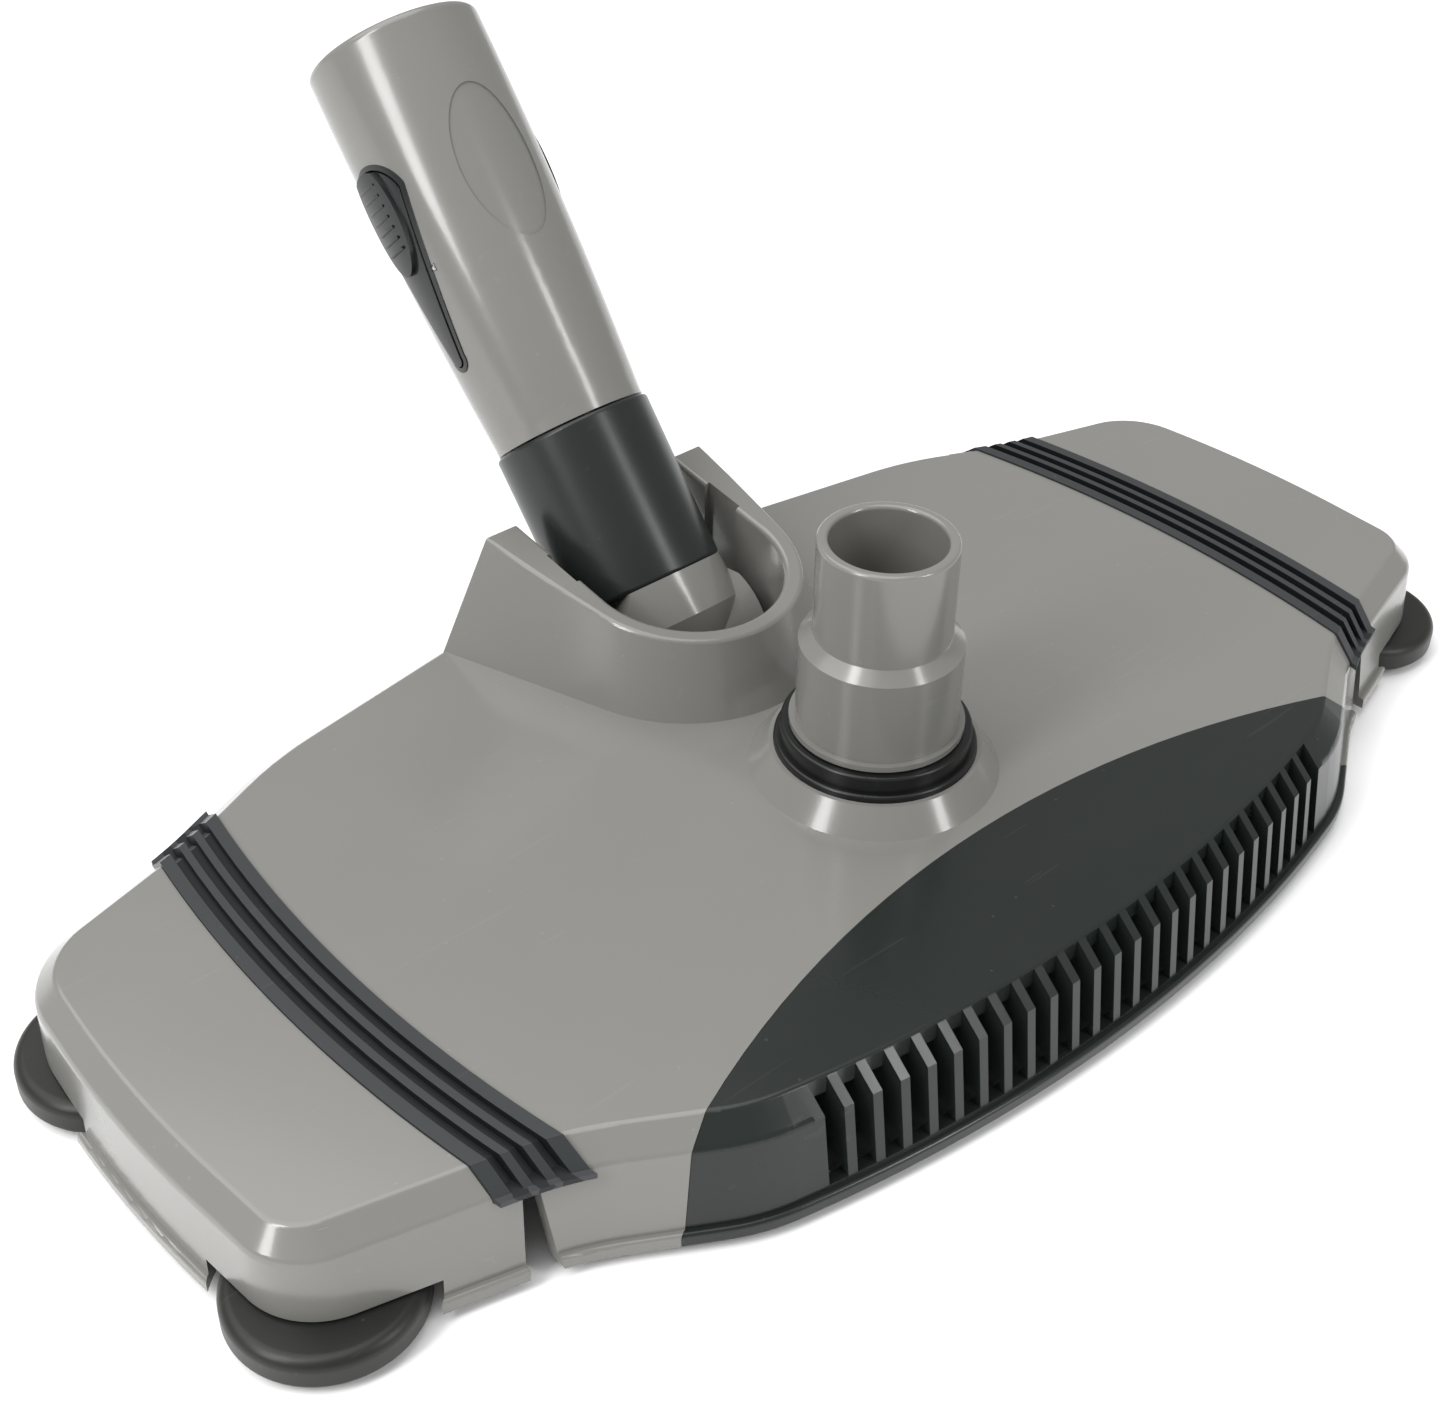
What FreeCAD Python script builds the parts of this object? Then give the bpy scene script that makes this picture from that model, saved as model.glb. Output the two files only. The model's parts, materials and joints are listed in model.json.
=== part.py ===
import FreeCAD, Part
import math
import os

os.makedirs("parts", exist_ok=True)

# Manual pool vacuum head: a weighted centre shell with two wings on moulded flexible hinge strips,
# a swivelling hose neck, a tilting pole handle, corner bumper rollers and small floor wheels.
# Millimetres. The model is laid out from the hose neck's axis (x = y = 0), with the floor at z = 0,
# the grille towards -Y and the handle towards +Y. It is moved to its own box centre when written out.

Vector = FreeCAD.Vector
X_AXIS = Vector(1, 0, 0)
Y_AXIS = Vector(0, 1, 0)
Z_AXIS = Vector(0, 0, 1)

# ---------------------------------------------------------------- driving dimensions
# Shell heights and walls
deck_z = 30.0  # deck above the floor
deck_wall = 3.0
skirt_wall = 2.4
hem_z = 3.0  # underside of the hem above the floor
hem_tall = 3.0
hem_out = 9.6  # how far the hem, the skirt's foot and the shoulder stand outside the deck's edge
skirt_out = 8.0
bevel_out = 5.5
bevel_drop = 5.0
tip_tuck = 3.0  # the tips' skirt stands this much steeper than the rest
deck_round = 1.6
shoulder_round = 2.5
hem_round = 0.9

# Plan of the head
hinge_x = 136.0  # wing hinge line from the middle
wing_span = 46.7  # hinge line to the widest point of the tip
front_reach = 82.1  # neck axis to the corner of the front bow
front_bow = 385.0
front_fall = 22.0  # from the bow's corner back to the front's outer corner
flank_in = 42.0  # front's outer corner inboard of the hinge line
flank_round = 40.0
wing_front_in = 10.0
wing_front_back = 41.2
wing_front_bow = 80.0
tip_front_in = 3.8
tip_front_back = 55.2
tip_front_round = 10.5
tip_bow = 300.0
tip_bow_y = 22.8
tip_rear_in = 4.5
tip_rear_front = 43.4
tip_rear_round = 18.0
wing_rear_front = 31.5
wing_rear_bow = 120.0
haunch_in = 31.0
haunch_front = 17.9
haunch_bow = 90.0
rear_reach = 109.7  # neck axis to the corner of the rear bow
rear_bow = 300.0

# Flexible hinge strips
strip_radius = 354.25
strip_bow = 4.25  # how far the strip's middle bows out past the hinge line
strip_y = 19.8
strip_width = 16.5
strip_proud = 0.6
strip_sunk = 1.8
strip_gap = 5.0  # gap between the shells under the strip
strip_border = 3.0
groove_width = 2.3
groove_count = 3
groove_depth = 1.7
strip_fold = 1.0  # how far the folded ends reach below the shoulder
strip_lip = 1.8  # how far the ends' thin lips stand out from the shoulder
strip_lip_tall = 1.4
strip_lip_root = 1.0
notch_top = 3.0  # V notch in the skirt, its width at the shoulder and at the hem
notch_foot = 7.2
notch_front_y = -30.0  # the notches reach in to here
notch_rear_y = 66.0
moulded_gap = 0.1

# Front panel with its grille
panel_radius = 251.2
panel_crown = 33.7  # neck axis to the panel's rearmost point
panel_gap = 0.12
panel_screw_angle = 11.0
slot_count = 25
slot_width = 4.45
fin_width = 2.23
fin_depth = 10.0
fin_end_gap = 2.0
slot_foot = 7.0  # height of the sill under the slots
slot_edge = 0.3  # the slots start this far outside the deck's edge
flange_wall = 2.0
flange_in = 7.0
flange_out = 7.5
flange_back = 5.9  # the flange's ends, inside the deck's edge

# Corner bumper rollers
roller_x_in = 12.3  # roller axis inboard of the widest point
roller_front_y = -24.2
roller_rear_y = 56.8
roller_radius = 20.2
roller_tall = 7.0
roller_z = 2.2
roller_round = 2.6
roller_foot_round = 1.0
hub_radius = 9.0
hub_lift = 0.4
hub_sink = 3.2  # counterbore round the shoulder screw's head, wall and height
hub_sink_tall = 2.4
arch_gap = 2.6  # skirt cut away round a roller
arch_rise = 0.8
stub_radius = 3.0
stub_lift = 0.7
stub_head = 2.6
stub_head_tall = 1.4
stub_thread = 12.0
boss_wall = 3.0
run_gap = 0.05  # running fit, radial

# Floor wheels
wheel_radius = 10.0
wheel_width = 8.0
wheel_round = 1.5
wheel_rim = 2.6
wheel_dish = 1.0
wheel_hub = 1.6
axle_radius = 2.0
axle_head = 1.2
axle_head_tall = 0.8
axle_play = 0.9
fork_wall = 2.4
fork_side_gap = 0.5
fork_half_y = 6.0
fork_screw_y = 9.3
centre_wheel_in = 48.0  # centre wheels inboard of the hinge line
centre_wheel_front_y = -22.0
centre_wheel_rear_y = 68.0
wing_wheel_out = 26.0  # wing wheel outboard of the hinge line
wing_wheel_y = 16.0

# Ballast
ballast_in = 52.0
ballast_length = 44.0
ballast_depth = 54.0
ballast_tall = 9.0
ballast_round = 1.2
ballast_y = 22.0
wing_ballast_out = 13.8
wing_ballast_length = 9.5
wing_ballast_depth = 60.0

# Screws
screw_radius = 1.5
screw_bite = 2.2  # how deep the shanks go into the deck
screw_head = 2.9
screw_head_tall = 1.8
screw_slot = 0.8
screw_cross = 0.65  # the cross slot's reach as a part of the head's radius
snug_gap = 0.02  # radial, round a fixed pin or screw

# Hose neck
neck_radius = 16.0  # 32 mm hose cuff
cuff_radius = 19.0  # 38 mm hose cuff
neck_bore = 13.3
cuff_bore = 15.7
neck_top = 91.4
neck_foot = 67.4
cone_tall = 2.7
rim_radius = 20.4
rim_tall = 1.4
cone_blend = 3.0
neck_round = 0.9
neck_end = 16.6
groove_lift = 1.2
neck_groove = 0.9
boss_foot_radius = 29.5
boss_top_radius = 24.9
boss_rise = 6.2
boss_drop = 6.0
swivel_gap = 0.06
ring_outer = 23.7
ring_upper = 22.3
ring_sunk = 4.0
ring_step = 1.6
ring_play = 0.3
ring_round = 0.7
ring_upper_tall = 4.2
retainer_tall = 2.6
retainer_out = 2.8
retainer_split = 4.0
retainer_play = 0.05
rim_lift = 0.4

# Yoke
yoke_foot_front = 29.8  # the D shape at the deck and at yoke_rise above it
yoke_foot_radius = 37.0
yoke_foot_rear = 50.6
yoke_head_front = 43.1
yoke_head_radius = 28.8
yoke_head_rear = 34.6
yoke_rise = 28.0
yoke_rear = 101.6
rim_height = 22.1
rim_slope = 0.15
rim_round = 1.2
well_half = 25.3
well_y = 68.1
well_wall = 2.6
well_floor = 3.6
well_floor_wall = 2.0
sill_z = 11.0
guide_front = 76.5
guide_rear = 88.3
guide_deep = 1.5
cavity_rise = 14.0

# Handle
pivot_y = 71.7
pivot_z = 25.0
rest_tilt = 40.4
pin_radius = 4.0
pin_half = 33.5
pin_boss = 8.0
pin_boss_out = 31.5
pad_sunk = 0.5
clip_tall = 1.0
clip_wide = 6.5
clip_play = 0.2
clip_slot = 3.0
bush_radius = 7.5
bush_gap = 0.35
side_play = 0.35
knuckle_half = 20.6
barrel_radius = 17.0
barrel_flat = 18.0
barrel_end_radius = 12.0
knuckle_radius = 20.8
knuckle_waist = 14.5
knuckle_foot = 16.5
knuckle_low = -4.0
knuckle_bend = 5.0
facet_foot = 4.0
collar_foot = 16.5
collar_foot_radius = 20.6
collar_top_radius = 20.85
tube_foot = 61.3
tube_foot_radius = 20.0
tube_mid = 112.0
tube_mid_radius = 22.5
tube_end = 167.0
tube_end_radius = 23.0
tube_round = 2.0
tube_flare = 3.0
flare_out = 0.1
mouth_flare = 1.0
collar_gap = 0.4
collar_round = 1.0
socket_radius = 16.2
socket_foot = 74.0
stem_radius = 13.0
stem_end = 71.0
stem_play = 0.3
stem_root = 6.0

# Shallow oval on the tube's front
oval_top = 20.9
oval_length = 40.0
oval_width = 21.0
oval_deep = 0.4

# Pole clip
clip_top = 28.0  # below the tube's end
clip_length = 55.5
clip_big = 10.8
clip_small = 3.2
clip_seat = 17.9
bezel_wall = 1.3
bezel_proud = 0.3
button_gap = 0.35
button_inner = 20.6
button_proud = 0.6
button_pin = 1.2
button_pin_x = clip_seat + 2.4
button_pin_half = 7.8
pin_hole_half = 8.0
lug_radius = 2.0
lug_half = 4.0
nib_radius = 2.1
nib_back = 0.2
nib_rise = 4.0
window_radius = 2.7
button_pivot = 30.0  # below the top of the clip
pad_length = 30.0
pad_width = 13.0
pad_proud = 1.2
pad_below = 3.0

# Cutting tools run past the part by these
past = 1.0
far = 200.0

# ---------------------------------------------------------------- derived sizes
tip_x = hinge_x + wing_span
flank_x = hinge_x - flank_in
cavity_top = deck_z - deck_wall
screw_top = cavity_top + screw_bite + 0.1
shoulder_z = deck_z - bevel_drop
gap_foot = shoulder_z - strip_gap / 10
strip_centre_x = hinge_x + strip_bow - strip_radius
groove_rib = (strip_width - 2 * strip_border - groove_count * groove_width) / (groove_count - 1)
panel_centre_y = -panel_crown - panel_radius
roller_x = tip_x - roller_x_in
arch_z = roller_z + roller_tall + arch_rise
fin_foot = hem_z + hem_tall / 3
fin_top = deck_z - deck_wall / 3
slot_pitch = slot_width + fin_width
slot_start = -(slot_count * slot_width + (slot_count - 1) * fin_width) / 2
fork_inner = wheel_width / 2 + fork_side_gap
fork_half_x = fork_inner + fork_wall
well_outer_x = pin_boss_out + clip_wide
boss_top_z = deck_z + boss_rise
ring_foot_z = boss_top_z - ring_sunk
ring_step_z = boss_top_z + ring_step
ring_top_z = ring_step_z + ring_upper_tall
centre_wheel_x = hinge_x - centre_wheel_in
wing_wheel_x = hinge_x + wing_wheel_out
ballast_x = hinge_x - ballast_in
button_pin_z = tube_end - clip_top - button_pivot
nib_z = tube_end - clip_top - clip_length + clip_small + nib_rise
wing_ballast_x = hinge_x + wing_ballast_out

half_corners = [
    (0, -front_reach, front_bow),
    (flank_x, front_fall - front_reach, flank_round),
    (hinge_x - wing_front_in, wing_front_back - front_reach, wing_front_bow),
    (tip_x - tip_front_in, tip_front_back - front_reach, tip_front_round),
    (tip_x, tip_bow_y, tip_bow),
    (tip_x - tip_rear_in, rear_reach - tip_rear_front, tip_rear_round),
    (hinge_x, rear_reach - wing_rear_front, wing_rear_bow),
    (hinge_x - haunch_in, rear_reach - haunch_front, haunch_bow),
    (0, rear_reach, rear_bow),
]
corners = half_corners + [(-x, y, r) for x, y, r in half_corners[-2:0:-1]]

nodes = {}


# ---------------------------------------------------------------- helpers
def cylinder(radius, low, high, x=0, y=0):
    return Part.makeCylinder(radius, high - low, Vector(x, y, low), Z_AXIS)


def tube(outer, inner, low, high, x=0, y=0):
    return cylinder(outer, low, high, x, y).cut(cylinder(inner, low - past, high + past, x, y))


def box(x0, x1, y0, y1, z0, z1):
    return Part.makeBox(x1 - x0, y1 - y0, z1 - z0, Vector(x0, y0, z0))


def revolve(points):
    """A solid of revolution about Z from (radius, height) points."""
    wire = Part.makePolygon([Vector(r, 0, z) for r, z in points + points[:1]])
    return Part.Face(wire).revolve(Vector(0, 0, 0), Z_AXIS, 360)


def edges_at(shape, height):
    return [e for e in shape.Edges if all(abs(v.Z - height) < 1e-3 for v in e.Vertexes)]


def mirror_x(shape):
    return shape.mirror(Vector(0, 0, 0), X_AXIS)


def biggest(shape):
    return max(shape.Solids, key=lambda s: s.Volume)


def screw(x, y, seat_z, length):
    """A pan head screw driven upwards, its head below seat_z, with a cross slot."""
    head = cylinder(screw_head, seat_z - screw_head_tall, seat_z, x, y)
    shank = cylinder(screw_radius, seat_z, seat_z + length, x, y)
    low = seat_z - screw_head_tall
    half = screw_slot / 2
    reach = screw_head * screw_cross
    cross = box(x - reach, x + reach, y - half, y + half, low - past, low + screw_slot)
    cross = cross.fuse(box(x - half, x + half, y - reach, y + reach, low - past, low + screw_slot))
    return head.fuse(shank).cut(cross)


def screw_hole(x, y):
    return cylinder(screw_radius + snug_gap, 0, screw_top, x, y)


def compound(solids):
    return Part.makeCompound(solids)


# ---------------------------------------------------------------- head outline and blocks
def outline(grow, height, tuck=0):
    """The deck's plan grown sideways, tips drawn in by tuck: straight sides joined by tangent arcs."""
    count = len(corners)
    points = []
    for x, y, r in corners:
        at_tip = abs(x) > hinge_x + 1
        points.append(Vector(x - math.copysign(tuck, x) if at_tip else x, y, 0))
    sides = [(points[(i + 1) % count] - points[i]).normalize() for i in range(count)]
    lift = Vector(0, 0, height)
    arcs = []
    for i in range(count):
        before = sides[i - 1]
        after = sides[i]
        bend = before.x * after.y - before.y * after.x
        turn = math.atan2(abs(bend), before.dot(after))
        normal_before = Vector(before.y, -before.x, 0)
        normal_after = Vector(after.y, -after.x, 0)
        shift = grow / (1 + normal_before.dot(normal_after))
        corner = points[i] + (normal_before + normal_after) * shift + lift
        radius = corners[i][2] + (grow if bend > 0 else -grow)
        tangent = radius * math.tan(turn / 2)
        inward = (after - before).normalize()
        middle = corner + inward * (radius / math.cos(turn / 2) - radius)
        arcs.append((corner - before * tangent, middle, corner + after * tangent))
    edges = []
    for i in range(count):
        start, middle, finish = arcs[i]
        edges.append(Part.Arc(start, middle, finish).toShape())
        edges.append(Part.makeLine(finish, arcs[(i + 1) % count][0]))
    return Part.Wire(edges)


def head_block(grow, rise, foot):
    """The head as one solid down to a foot height, grown sideways and raised."""
    wires = [
        outline(grow, deck_z + rise),
        outline(bevel_out + grow, shoulder_z + rise / 2, tip_tuck / 4),
        outline(skirt_out + grow, foot, tip_tuck),
    ]
    return Part.makeLoft(wires, True, True)


def prism(grow, low, high, tuck=0):
    return Part.Face(outline(grow, low, tuck)).extrude(Vector(0, 0, high - low))


def strip_disc(radius, low, high, side):
    return cylinder(radius, low, high, side * strip_centre_x, strip_y)


def strip_ring(inner, outer, low, high, side):
    return strip_disc(outer, low, high, side).cut(strip_disc(inner, low - past, high + past, side))


def panel_disc(grow, low, high):
    return cylinder(panel_radius + grow, low, high, 0, panel_centre_y)


def head_shell():
    """The whole head's hollow shell, with its hem, before it is divided."""
    hem_top = hem_z + hem_tall
    outer = head_block(0, 0, hem_top)
    outer = outer.makeFillet(deck_round, edges_at(outer, deck_z))
    outer = outer.makeFillet(shoulder_round, edges_at(outer, shoulder_z))
    hem = prism(hem_out, hem_z, hem_top, tip_tuck)
    hem = hem.makeFillet(hem_round, edges_at(hem, hem_top))
    skin = outer.fuse(hem)
    return skin.cut(head_block(-skirt_wall, -deck_wall, hem_z - 1))


# ---------------------------------------------------------------- yoke and hose boss
def d_shape(front, radius, rear_half, height):
    """A closed D: a front arc running smoothly into flared sides, and a straight rear."""
    centre_y = front + radius
    across = rear_half
    along = yoke_rear - centre_y
    span = across**2 + along**2
    leg = math.sqrt(span - radius**2)
    touch_x = (radius**2 * across + radius * leg * along) / span
    touch_y = centre_y + (radius**2 * along - radius * leg * across) / span
    left = Vector(-touch_x, touch_y, height)
    right = Vector(touch_x, touch_y, height)
    rear_right = Vector(rear_half, yoke_rear, height)
    rear_left = Vector(-rear_half, yoke_rear, height)
    edges = [
        Part.Arc(left, Vector(0, front, height), right).toShape(),
        Part.makeLine(right, rear_right),
        Part.makeLine(rear_right, rear_left),
        Part.makeLine(rear_left, left),
    ]
    return Part.Wire(edges)


def yoke_foot(inset, height):
    return d_shape(yoke_foot_front + inset, yoke_foot_radius - inset, yoke_foot_rear - inset, height)


def yoke_block(inset):
    """The yoke's outer walls as a solid, or the hollow inside them when inset."""
    foot = yoke_foot(inset, deck_z - 1)
    head = d_shape(
        yoke_head_front + inset, yoke_head_radius - inset, yoke_head_rear - inset, deck_z + yoke_rise
    )
    return Part.makeLoft([foot, head], True, True)


def well_prism(grow, low, high, rear):
    """The U-shaped well the handle swings in."""
    half = well_half + grow
    front = cylinder(half, low, high, 0, well_y)
    return front.fuse(box(-half, half, well_y, rear, low, high))


def rim_cutter():
    """Everything above the yoke's sloping rim."""
    base = deck_z + rim_height
    low_y = 0
    high_y = 2 * yoke_rear
    top = deck_z + far
    profile = [
        Vector(0, low_y, base + rim_slope * (low_y - well_y)),
        Vector(0, high_y, base + rim_slope * (high_y - well_y)),
        Vector(0, high_y, top),
        Vector(0, low_y, top),
    ]
    face = Part.Face(Part.makePolygon(profile + profile[:1]))
    face.translate(Vector(-far, 0, 0))
    return face.extrude(Vector(2 * far, 0, 0))


def on_rim(edge):
    """True for an edge lying in the rim's sloping plane, clear of the yoke's rear ends."""
    if all(abs(v.Y - yoke_rear) < 1e-2 for v in edge.Vertexes):
        return False
    for vertex in edge.Vertexes:
        rim = deck_z + rim_height + rim_slope * (vertex.Y - well_y)
        if abs(vertex.Z - rim) > 1e-2:
            return False
    return True


def yoke():
    walls = yoke_block(0).cut(rim_cutter())
    walls = walls.cut(well_prism(0, 0, far, far))
    rims = [e for e in walls.Edges if on_rim(e)]
    walls = walls.makeFillet(rim_round, rims)
    mouth = Part.Face(yoke_foot(well_wall, cavity_top - past)).extrude(Vector(0, 0, deck_wall + past))
    cavity = yoke_block(well_wall).fuse(mouth).cut(well_prism(well_wall, 0, far, far))
    cavity = cavity.common(box(-far, far, 0, yoke_rear - well_wall, 0, deck_z + cavity_rise))
    return walls, cavity


def guides():
    """Shallow upright grooves in the yoke's inner walls that lead the handle's pin down."""
    reach = well_half + guide_deep
    return box(-reach, reach, guide_front, guide_rear, deck_z, far)


# ---------------------------------------------------------------- shells
def whole_shell():
    """Deck, skirt, yoke, well, hose boss and roller bosses as one piece, before it is divided."""
    walls, cavity = yoke()
    walls = walls.cut(cavity)
    well_outer = well_prism(well_wall, well_floor, deck_z - 1, far)
    well_outer = well_outer.common(head_block(-skirt_wall / 2, -1, well_floor - 1))
    boss_foot = cavity_top - boss_drop
    boss = revolve([
        (0, boss_foot),
        (cuff_radius + boss_wall, boss_foot),
        (cuff_radius + boss_wall, deck_z - 1),
        (boss_foot_radius, deck_z - 1),
        (boss_foot_radius, deck_z),
        (boss_top_radius, boss_top_z),
        (0, boss_top_z),
    ])
    added = [walls, well_outer, boss]
    under_deck = box(-far, far, 0, far, well_floor, deck_z)
    for side in (-1, 1):
        pad_foot = well_half + pad_sunk
        start = Vector(side * pad_foot, pivot_y, pivot_z)
        pad = Part.makeCylinder(pin_boss, pin_boss_out - pad_foot, start, X_AXIS * side)
        added.append(pad.common(under_deck))
        for y in (roller_front_y, roller_rear_y):
            added.append(cylinder(stub_radius + boss_wall, arch_z, deck_z - 1, side * roller_x, y))

    well_above = well_prism(0, sill_z, far, far)
    well_below = well_prism(0, well_floor + well_floor_wall, sill_z + past, yoke_rear)
    pin_start = Vector(-well_outer_x, pivot_y, pivot_z)
    removed = [
        well_above.fuse([well_below, guides()]),
        cylinder(cuff_radius + swivel_gap, 0, far),
        cylinder(ring_outer + moulded_gap, ring_foot_z, far),
        Part.makeCylinder(pin_radius + snug_gap, 2 * well_outer_x, pin_start, X_AXIS),
    ]
    for side in (-1, 1):
        for y in (roller_front_y, roller_rear_y):
            removed.append(cylinder(roller_radius + arch_gap, -past, arch_z, side * roller_x, y))
            removed.append(cylinder(screw_radius + snug_gap, -past, deck_z - 2, side * roller_x, y))
    return head_shell().cut(cavity).fuse(added).cut(removed)


def hinge_cut(side):
    """The gap that parts a wing from the centre shell: under the strip, then V notches in the skirt."""
    half = strip_gap / 2
    cut = strip_ring(strip_radius - half, strip_radius + half, gap_foot, far, side)
    for y0, y1 in ((-far, notch_front_y), (notch_rear_y, far)):
        profile = [
            Vector(-notch_foot / 2, y0, 0),
            Vector(notch_foot / 2, y0, 0),
            Vector(notch_top / 2, y0, shoulder_z),
            Vector(notch_top / 2, y0, far),
            Vector(-notch_top / 2, y0, far),
            Vector(-notch_top / 2, y0, shoulder_z),
        ]
        wedge = Part.Face(Part.makePolygon(profile + profile[:1])).extrude(Vector(0, y1 - y0, 0))
        wedge.translate(Vector(side * hinge_x, 0, 0))
        cut = cut.fuse(wedge)
    return cut


def strip_bed(side, inner_gap, low):
    """The rebate or the strip's own body: the skin of the head between two radii."""
    half = strip_width / 2 + inner_gap
    return strip_ring(strip_radius - half, strip_radius + half, low, far, side)


def flex_strip(side):
    low = shoulder_z - strip_fold
    lip_top = low + strip_lip_tall
    foot = hem_z + hem_tall
    skin = head_block(strip_proud, strip_proud, foot)
    under = head_block(-strip_sunk, -strip_sunk, foot - past)
    lip = prism(bevel_out + strip_lip, low, lip_top)
    lip = lip.cut(prism(bevel_out - strip_lip_root, low - past, lip_top + past))
    body = skin.cut(under).fuse(lip).common(strip_bed(side, 0, low))
    floor = head_block(strip_proud - groove_depth, strip_proud - groove_depth, foot)
    for i in range(groove_count):
        start = strip_radius - strip_width / 2 + strip_border + i * (groove_width + groove_rib)
        groove = strip_ring(start, start + groove_width, lip_top, far, side)
        body = body.cut(groove.cut(floor))
    return biggest(body)


def strip_rebate(side):
    low = shoulder_z - strip_fold - moulded_gap
    foot = hem_z + hem_tall
    skin = head_block(strip_sunk, strip_sunk, foot)
    skin = skin.cut(head_block(-strip_sunk - moulded_gap, -strip_sunk, foot - past))
    return skin.common(strip_bed(side, moulded_gap, low))


def divided_shells():
    """The grille panel's blank, then the centre shell and the two wing shells."""
    whole = whole_shell()
    front = box(-far, far, -far, 0, -past, far)
    blank = whole.common(panel_disc(-panel_gap, -past, far).common(front))
    tools = [panel_disc(0, -past, far).common(front)]
    for side in (-1, 1):
        tools.append(strip_rebate(side))
        tools.append(hinge_cut(side))
    solids = sorted(whole.cut(tools).Solids, key=lambda s: s.Volume)
    centre = solids[-1]
    left, right = sorted(solids[-3:-1], key=lambda s: s.CenterOfMass.x)
    return blank, centre, left, right


grille_blank, centre_shell, left_wing, right_wing = divided_shells()


# ---------------------------------------------------------------- front grille panel
def grille_panel():
    """The dark front panel: its deck inlay, bevel and skirt, cut into upright slots and backed by fins."""
    slots = []
    fins = []
    for i in range(slot_count):
        x0 = slot_start + i * slot_pitch
        slots.append(box(x0, x0 + slot_width, -far, 0, slot_foot, far))
        fins.append(box(x0 - fin_width, x0, -far, 0, fin_foot, fin_top))
    fins.append(box(-slot_start, -slot_start + fin_width, -far, 0, fin_foot, fin_top))
    fin_band = head_block(0, 0, hem_z).cut(head_block(-fin_depth, -deck_wall, hem_z - past))
    fin_band = fin_band.common(panel_disc(-fin_end_gap, 0, fin_top))
    plates = fin_band.common(compound(fins))
    openings = compound(slots).cut(prism(slot_edge, -past, far))
    flange = panel_disc(flange_out, cavity_top - flange_wall, cavity_top)
    flange = flange.cut(panel_disc(-flange_in, 0, far)).common(box(-far, far, -far, 0, 0, far))
    flange = flange.common(prism(-flange_back, 0, far))
    return grille_blank.cut(openings).fuse([plates, flange])


def panel_screw_places():
    radius = panel_radius + flange_out / 2
    places = []
    for step in range(-2, 3):
        turn = math.radians(step * panel_screw_angle)
        places.append((radius * math.sin(turn), panel_centre_y + radius * math.cos(turn)))
    return places


# ---------------------------------------------------------------- floor wheels
def fork(x, y):
    """A moulded fork under the deck, with two ears and a screw flange."""
    base_z = cavity_top - fork_wall
    base = box(-fork_half_x, fork_half_x, -fork_half_y * 2, fork_half_y * 2, base_z, cavity_top)
    ears = []
    for side in (-1, 1):
        start = min(side * fork_inner, side * fork_half_x)
        ear = box(start, start + fork_wall, -fork_half_y, fork_half_y, wheel_radius, cavity_top)
        foot = Part.makeCylinder(fork_half_y, fork_wall, Vector(start, 0, wheel_radius), X_AXIS)
        ears += [ear, foot]
    bore = Part.makeCylinder(axle_radius + snug_gap, far, Vector(-far / 2, 0, wheel_radius), X_AXIS)
    holes = [cylinder(screw_radius + snug_gap, 0, deck_z, 0, side * fork_screw_y) for side in (-1, 1)]
    body = base.fuse(ears).cut([bore] + holes)
    body.translate(Vector(x, y, 0))
    return body


def fork_screws(x, y):
    seat = cavity_top - fork_wall
    return [screw(x, y + side * fork_screw_y, seat, fork_wall + screw_bite) for side in (-1, 1)]


def axle(x, y):
    """A headed steel pin across the fork."""
    half = fork_half_x + axle_play
    pin = Part.makeCylinder(axle_radius, 2 * half, Vector(x - half, y, wheel_radius), X_AXIS)
    heads = []
    for side in (-1, 1):
        start = x + half - axle_head_tall if side > 0 else x - half
        place = Vector(start, y, wheel_radius)
        heads.append(Part.makeCylinder(axle_radius + axle_head, axle_head_tall, place, X_AXIS))
    return pin.fuse(heads)


def floor_wheel(x, y):
    half = wheel_width / 2
    wheel = Part.makeCylinder(wheel_radius, wheel_width, Vector(-half, 0, 0), X_AXIS)
    rims = [e for e in wheel.Edges if len(e.Vertexes) == 1]
    wheel = wheel.makeFillet(wheel_round, rims)
    wheel = wheel.cut(Part.makeCylinder(axle_radius + run_gap, far, Vector(-far / 2, 0, 0), X_AXIS))
    for start in (-half - wheel_dish, half - wheel_dish):
        dish = Part.makeCylinder(wheel_radius - wheel_rim, 2 * wheel_dish, Vector(start, 0, 0), X_AXIS)
        hub = Part.makeCylinder(axle_radius + wheel_hub, far, Vector(-far / 2, 0, 0), X_AXIS)
        wheel = wheel.cut(dish.cut(hub))
    wheel.translate(Vector(x, y, wheel_radius))
    return wheel


# ---------------------------------------------------------------- bumper rollers
def roller_tyre(x, y):
    """A flat rubber disc with a rounded top rim."""
    top = roller_z + roller_tall
    tyre = cylinder(roller_radius, roller_z, top, x, y)
    tyre = tyre.makeFillet(roller_round, edges_at(tyre, top))
    tyre = tyre.makeFillet(roller_foot_round, edges_at(tyre, roller_z))
    return tyre.cut(cylinder(hub_radius, 0, far, x, y))


def roller_hub(x, y):
    top = roller_z + roller_tall
    hub = cylinder(hub_radius, roller_z + hub_lift, top, x, y)
    hub = hub.cut(cylinder(stub_radius + run_gap, 0, far, x, y))
    return hub.cut(cylinder(stub_radius + hub_sink, 0, roller_z + hub_sink_tall, x, y))


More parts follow.
